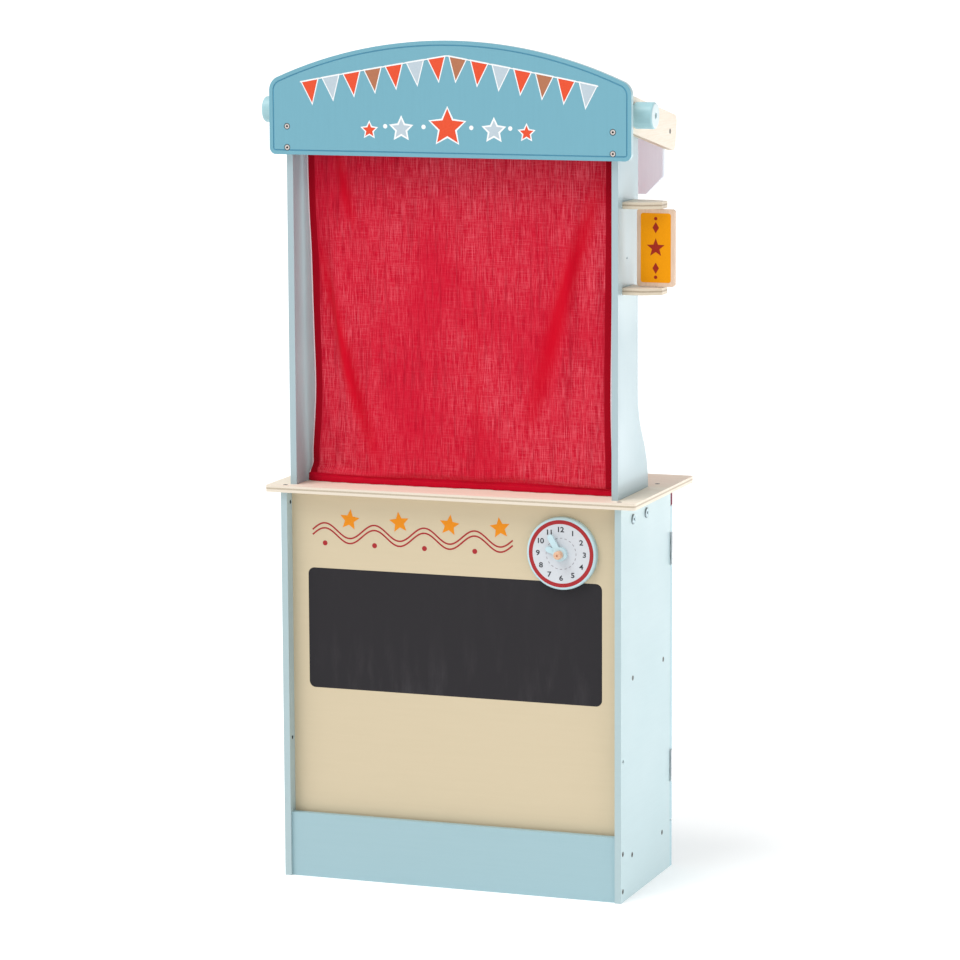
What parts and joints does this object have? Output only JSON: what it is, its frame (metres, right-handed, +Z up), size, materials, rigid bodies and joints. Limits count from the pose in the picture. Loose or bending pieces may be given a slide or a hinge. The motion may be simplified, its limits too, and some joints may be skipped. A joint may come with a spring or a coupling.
{
  "type": "toy puppet theatre",
  "caption": "Wooden play theatre on a cupboard base with roll-up curtain, arched header, swivel sign, play clock, chalkboard and a shop side with doors.",
  "frame": {"origin": "middle of the bounding box's footprint, on the floor under the side panels", "axes": "+Z up, -Y towards the audience (header, curtain, chalkboard), +Y towards the doors, +X to the audience's right, where the swivelling sign is"},
  "size_m": [0.5866, 0.2692, 1.1579],
  "materials": {
    "wall_blue": "satin",
    "cream": "satin",
    "slate": "matte",
    "teal": "satin",
    "header_blue": "satin",
    "lilac": "satin",
    "plywood": "satin",
    "beech": "satin",
    "knob_blue": "satin",
    "hand_blue": "satin",
    "sign_paint": "satin",
    "dial_paint": "satin",
    "red_cotton": "matte",
    "steel": "satin",
    "zinc": "satin",
    "catch_plastic": "matte"
  },
  "bodies": {
    "theatre": {"side_panel_left": "wall_blue", "side_panel_right": "wall_blue", "front_panel": "cream", "chalkboard": "slate", "kick_board": "teal", "rear_plinth": "teal", "rear_rail": "lilac", "bottom_shelf": "plywood", "middle_shelf": "plywood", "counter": "plywood", "post_left": "wall_blue", "post_right": "wall_blue", "header_board": "header_blue", "header_screws": "steel", "arm_left": "plywood", "arm_right": "plywood", "arm_screws": "steel", "rear_sign_board": "lilac", "rear_sign_screws": "steel", "side_screws": "steel", "counter_screws": "steel", "post_bolts": "zinc", "post_nuts": "zinc", "rear_screws": "steel", "curtain": "red_cotton", "sign_bracket_upper": "plywood", "sign_bracket_lower": "plywood", "bracket_screws": "steel", "clock_dial": "dial_paint", "clock_peg": "beech", "hinge_leaves_frame": "zinc", "hinge_pins": "zinc", "hinge_screws_frame": "steel", "magnet_catches": "catch_plastic"},
    "curtain_roller": {"curtain_rod": "beech", "knob_left": "knob_blue", "knob_right": "knob_blue", "knob_screws": "steel", "curtain_roll": "red_cotton"},
    "curtain_foot": {"curtain_hem": "red_cotton"},
    "swivel_sign": {"sign_board": "sign_paint", "sign_pins": "steel"},
    "hour": {"hour_hand": "hand_blue"},
    "minute": {"minute_hand": "hand_blue"},
    "left_door": {"door_left": "teal", "door_knob_left": "beech", "door_knob_screw_left": "steel", "hinge_leaves_left": "zinc", "hinge_screws_left": "steel", "strike_left": "zinc"},
    "right_door": {"door_right": "teal", "door_knob_right": "beech", "door_knob_screw_right": "steel", "hinge_leaves_right": "zinc", "hinge_screws_right": "steel", "strike_right": "zinc"}
  },
  "joints": [
    {"name": "curtain_wind", "type": "hinge", "parent": "theatre", "child": "curtain_roller", "pos_m": [-0.00893, -0.0684, 1.06], "axis": [-1, 0, 0], "range_deg": [0, 2190]},
    {"name": "curtain_lift", "type": "slide", "parent": "theatre", "child": "curtain_foot", "axis": [0, 0, 1], "range_m": [0, 0.4401], "deforming": ["curtain"]},
    {"name": "sign_swivel", "type": "hinge", "parent": "theatre", "child": "swivel_sign", "pos_m": [0.26708, -0.0684, 0.885], "axis": [0, 0, 1], "continuous": true},
    {"name": "hour_turn", "type": "hinge", "parent": "theatre", "child": "hour", "pos_m": [0.14908, -0.1194, 0.474], "axis": [0, 1, 0], "continuous": true},
    {"name": "minute_turn", "type": "hinge", "parent": "theatre", "child": "minute", "pos_m": [0.14908, -0.1224, 0.474], "axis": [0, 1, 0], "continuous": true},
    {"name": "left_door_swing", "type": "hinge", "parent": "theatre", "child": "left_door", "pos_m": [-0.25683, 0.0948, 0.289], "axis": [0, 0, 1], "range_deg": [0, 170]},
    {"name": "right_door_swing", "type": "hinge", "parent": "theatre", "child": "right_door", "pos_m": [0.23897, 0.0948, 0.289], "axis": [0, 0, -1], "range_deg": [0, 170]}
  ],
  "couplings": [
    {"joint": "curtain_lift", "follows": "curtain_wind", "m_per_rad": 0.0115}
  ]
}
